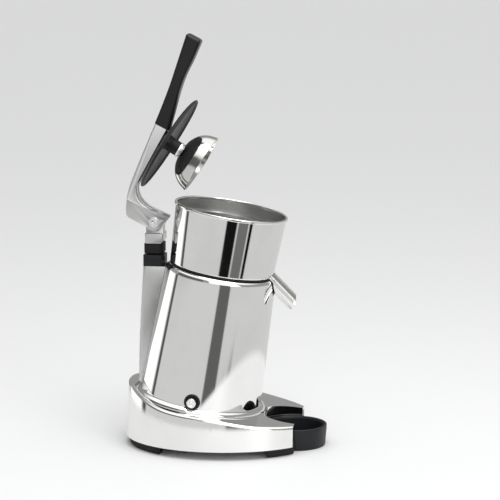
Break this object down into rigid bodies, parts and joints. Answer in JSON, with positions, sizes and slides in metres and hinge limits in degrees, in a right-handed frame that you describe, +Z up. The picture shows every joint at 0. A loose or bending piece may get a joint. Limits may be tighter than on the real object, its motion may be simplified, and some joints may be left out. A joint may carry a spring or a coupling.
{
  "type": "citrus press juicer",
  "caption": "Motor-driven citrus juicer with a leaning polished body, a removable bowl with spout, a ribbed reamer, a hinged press lever and a drip tray.",
  "frame": {"origin": "on the table under the middle of the machine's bounding box", "axes": "+Z up; +Y to the rear; -Y is the spout side; +X to the machine's left when the user faces the spout"},
  "size_m": [0.224, 0.2854, 0.5774],
  "materials": {
    "polished_body": "polished casting and spun shell",
    "stainless": "polished stainless steel",
    "satin_aluminium": "bead-blasted",
    "chrome_trim": "bright",
    "black_plastic": "fine-grained",
    "black_grip": "semi-gloss",
    "rubber": "matt",
    "steel": "plain",
    "laminated_steel": "lacquered sheets",
    "copper_wire": "enamelled wire",
    "bronze": "sintered",
    "reamer_plastic": "smooth",
    "switch_plastic": "plain",
    "white_plastic": "plain"
  },
  "bodies": {
    "stand": {"base_casting": "polished_body", "body_housing": "polished_body", "bottom_plate": "steel", "rubber_feet": "rubber", "foot_screws": "steel", "cable_gland": "rubber", "spout_cradle": "black_plastic", "bowl_gasket": "rubber", "seal_carrier": "black_plastic", "shaft_seal": "rubber", "upper_bracket": "satin_aluminium", "lower_bracket": "satin_aluminium", "motor_stator": "laminated_steel", "motor_windings": "copper_wire", "upper_bearing": "steel", "lower_bearing": "steel", "motor_screws": "steel", "run_capacitor": "white_plastic", "capacitor_clip": "steel", "terminal_block": "white_plastic", "button_bezel": "black_plastic", "button_nut": "black_plastic", "button_switch": "switch_plastic", "guide_bush": "bronze", "column_cap": "black_plastic", "column_housing": "satin_aluminium", "column_screws": "steel", "post_boot": "rubber", "return_spring": "steel", "start_switch": "switch_plastic"},
    "post": {"post_rod": "steel", "hinge_head": "satin_aluminium", "hinge_bush": "bronze"},
    "lever": {"lever_arm": "satin_aluminium", "hinge_pin": "chrome_trim", "pin_nut": "steel", "lever_grip": "black_grip", "grip_screws": "steel", "splash_disc": "black_plastic", "stem_spacer": "black_plastic", "cup_stem": "black_plastic", "neck_nut": "chrome_trim", "press_cup": "stainless", "stem_bolt": "chrome_trim", "cup_nut": "chrome_trim"},
    "drive": {"motor_shaft": "steel", "motor_rotor": "laminated_steel", "cooling_fan": "switch_plastic"},
    "reamer": {"reamer": "stainless"},
    "strainer": {"strainer": "stainless"},
    "bowl": {"bowl": "stainless", "spout": "stainless"},
    "power_button": {"button_plunger": "black_plastic", "button_face": "chrome_trim"},
    "tray": {"drip_tray": "black_plastic"}
  },
  "joints": [
    {"name": "post_press", "type": "slide", "parent": "stand", "child": "post", "axis": [0, 0, -1], "range_m": [0, 0.003], "stiffness_N_per_m": 4000, "springref_m": -0.008, "deforming": ["return_spring", "post_boot"]},
    {"name": "lever_hinge", "type": "hinge", "parent": "post", "child": "lever", "pos_m": [0, 0.09965, 0.3142], "axis": [1, 0, 0], "range_deg": [0, 67.4]},
    {"name": "drive_spin", "type": "hinge", "parent": "stand", "child": "drive", "pos_m": [0, 0.04775, 0], "axis": [0, -0.165, 0.9863], "continuous": true},
    {"name": "reamer_lift", "type": "slide", "parent": "drive", "child": "reamer", "axis": [0, 0.165, -0.9863], "range_m": [-0.075, 0]},
    {"name": "strainer_lift", "type": "slide", "parent": "stand", "child": "strainer", "axis": [0, 0.165, -0.9863], "range_m": [-0.0225, 0]},
    {"name": "bowl_lift", "type": "slide", "parent": "stand", "child": "bowl", "axis": [0, 0.165, -0.9863], "range_m": [-0.0075, 0]},
    {"name": "power_button", "type": "slide", "parent": "stand", "child": "power_button", "axis": [1, 0, 0], "range_m": [0, 0.003], "stiffness_N_per_m": 400, "springref_m": -0.002},
    {"name": "tray_slide", "type": "slide", "parent": "stand", "child": "tray", "axis": [0, -1, 0], "range_m": [0, 0.06]}
  ],
  "couplings": [
    {"joint": "strainer_lift", "follows": "reamer_lift", "ratio": 0.3},
    {"joint": "bowl_lift", "follows": "reamer_lift", "ratio": 0.1}
  ]
}
